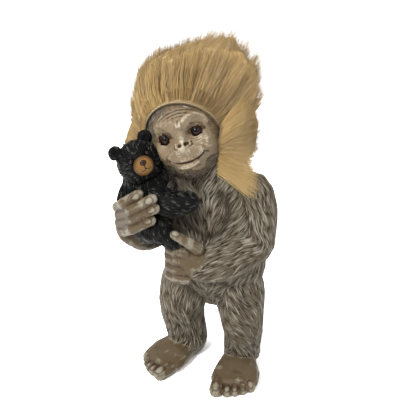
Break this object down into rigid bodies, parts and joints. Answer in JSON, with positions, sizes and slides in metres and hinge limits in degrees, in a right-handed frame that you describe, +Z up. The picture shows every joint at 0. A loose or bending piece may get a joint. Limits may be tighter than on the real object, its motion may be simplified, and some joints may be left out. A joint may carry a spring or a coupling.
{
  "type": "bigfoot figurine",
  "caption": "Standing bigfoot figurine with carved fur, broad bare feet and a smiling face, hugging a small bear cub, and wearing a slip-on long-pile wig with a braided edge.",
  "frame": {"origin": "middle of the whole outline's footprint, on the floor under the soles", "axes": "+Z up from the soles to the crown, -Y the way the figure faces, +X towards its own left hand"},
  "size_m": [0.1506, 0.1498, 0.3563],
  "materials": {
    "resin": "painted cast resin, dry-brushed carved fur",
    "skin": "painted cast resin, satin",
    "cub": "painted cast resin, satin, dry-brushed carved fur",
    "muzzle": "painted cast resin, satin",
    "eye": "glossy",
    "fur": "long-pile faux fur",
    "backing": "knitted backing",
    "braid": "twisted braid"
  },
  "bodies": {
    "figurine": {"torso": "resin", "left_leg": "resin", "right_leg": "resin", "left_foot": "skin", "right_foot": "skin", "left_upper_arm": "resin", "left_forearm": "resin", "left_hand": "skin", "right_upper_arm": "resin", "right_forearm": "resin", "right_hand": "skin", "head": "skin", "left_eye": "eye", "right_eye": "eye", "cub_body": "cub", "cub_left_arm": "cub", "cub_right_arm": "cub", "cub_left_leg": "cub", "cub_head": "cub", "cub_muzzle": "muzzle", "cub_nose": "eye", "cub_left_eye": "eye", "cub_right_eye": "eye"},
    "wig": {"wig_cap": "backing", "wig_braid": "braid", "wig_tress": "fur", "wig_fur": "fur"}
  },
  "joints": [
    {"name": "wig_lift", "type": "slide", "parent": "figurine", "child": "wig", "axis": [0, 0, 1], "range_m": [0, 0.09]}
  ]
}
